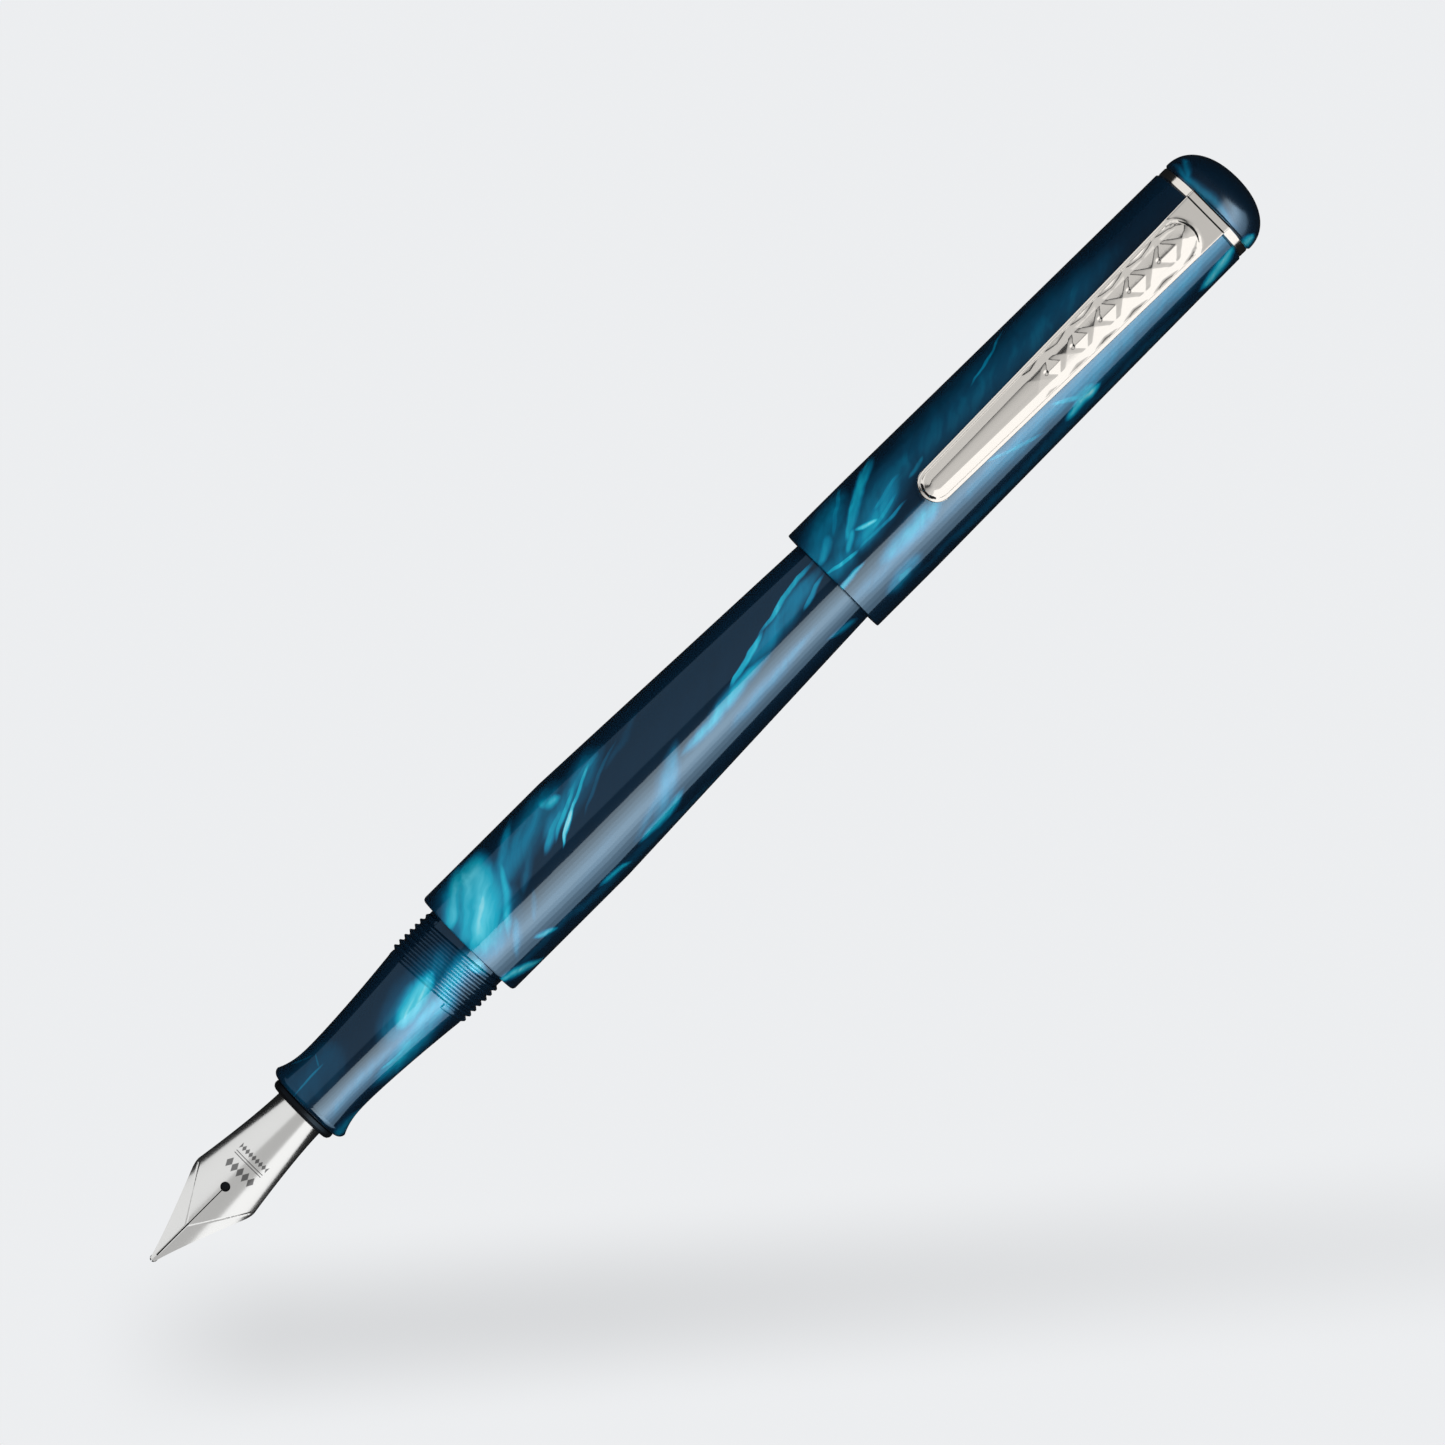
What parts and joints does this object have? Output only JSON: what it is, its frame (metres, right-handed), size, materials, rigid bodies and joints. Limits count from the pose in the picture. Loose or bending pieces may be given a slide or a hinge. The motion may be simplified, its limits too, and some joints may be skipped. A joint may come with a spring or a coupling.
{
  "type": "fountain pen",
  "caption": "Cartridge-converter fountain pen with a waisted grip, tapered resin barrel, posted clip cap and piston converter.",
  "frame": {"origin": "on the pen's axis, at the front end of the barrel's straight land", "axes": "+X along the pen's axis from the nib towards the cap's finial, +Z out of the nib's face"},
  "size_m": [0.1763, 0.0148, 0.0168],
  "materials": {
    "nib_steel": "polished",
    "tipping": "satin",
    "feed_plastic": "satin",
    "resin": "polished, pearly swirls",
    "clear_plastic": "clear",
    "black_plastic": "moulded",
    "sleeve_steel": "polished",
    "rod_plastic": "moulded",
    "seal_rubber": "matt",
    "liner_plastic": "moulded",
    "polished_silver": "polished",
    "brass": "turned"
  },
  "bodies": {
    "barrel": {"barrel": "resin"},
    "section": {"grip_section": "resin"},
    "nib_unit": {"nib": "nib_steel", "nib_tipping": "tipping", "feed": "feed_plastic", "nib_housing": "feed_plastic"},
    "converter": {"converter_tube": "clear_plastic", "converter_collar": "black_plastic", "converter_sleeve": "sleeve_steel"},
    "knob": {"converter_knob": "black_plastic", "converter_spindle": "sleeve_steel"},
    "piston": {"piston_rod": "rod_plastic", "piston_seal": "seal_rubber"},
    "cap": {"cap_tube": "resin", "inner_cap": "liner_plastic", "clip_ring": "polished_silver", "finial": "resin", "finial_screw": "brass"},
    "clip": {"clip": "polished_silver"}
  },
  "joints": [
    {"name": "section_pull", "type": "slide", "parent": "barrel", "child": "section", "axis": [-1, 0, 0], "range_m": [0, 0.065]},
    {"name": "nib_unit_pull", "type": "slide", "parent": "section", "child": "nib_unit", "axis": [-1, 0, 0], "range_m": [0, 0.026]},
    {"name": "converter_pull", "type": "slide", "parent": "section", "child": "converter", "axis": [1, 0, 0], "range_m": [0, 0.008]},
    {"name": "knob_turn", "type": "hinge", "parent": "converter", "child": "knob", "pos_m": [0.0527, 0, 0], "axis": [-1, 0, 0], "range_deg": [0, 1800]},
    {"name": "piston_slide", "type": "slide", "parent": "converter", "child": "piston", "axis": [1, 0, 0], "range_m": [0, 0.02]},
    {"name": "cap_pull", "type": "slide", "parent": "barrel", "child": "cap", "axis": [1, 0, 0], "range_m": [0, 0.03]},
    {"name": "clip_flex", "type": "hinge", "parent": "cap", "child": "clip", "pos_m": [0.1189, -0.00041, 0.00734], "axis": [0, 0.9984, 0.0558], "range_deg": [0, 4], "stiffness_Nm_per_rad": 2}
  ],
  "couplings": [
    {"joint": "knob_turn", "follows": "piston_slide", "rad_per_m": 1570.8}
  ]
}
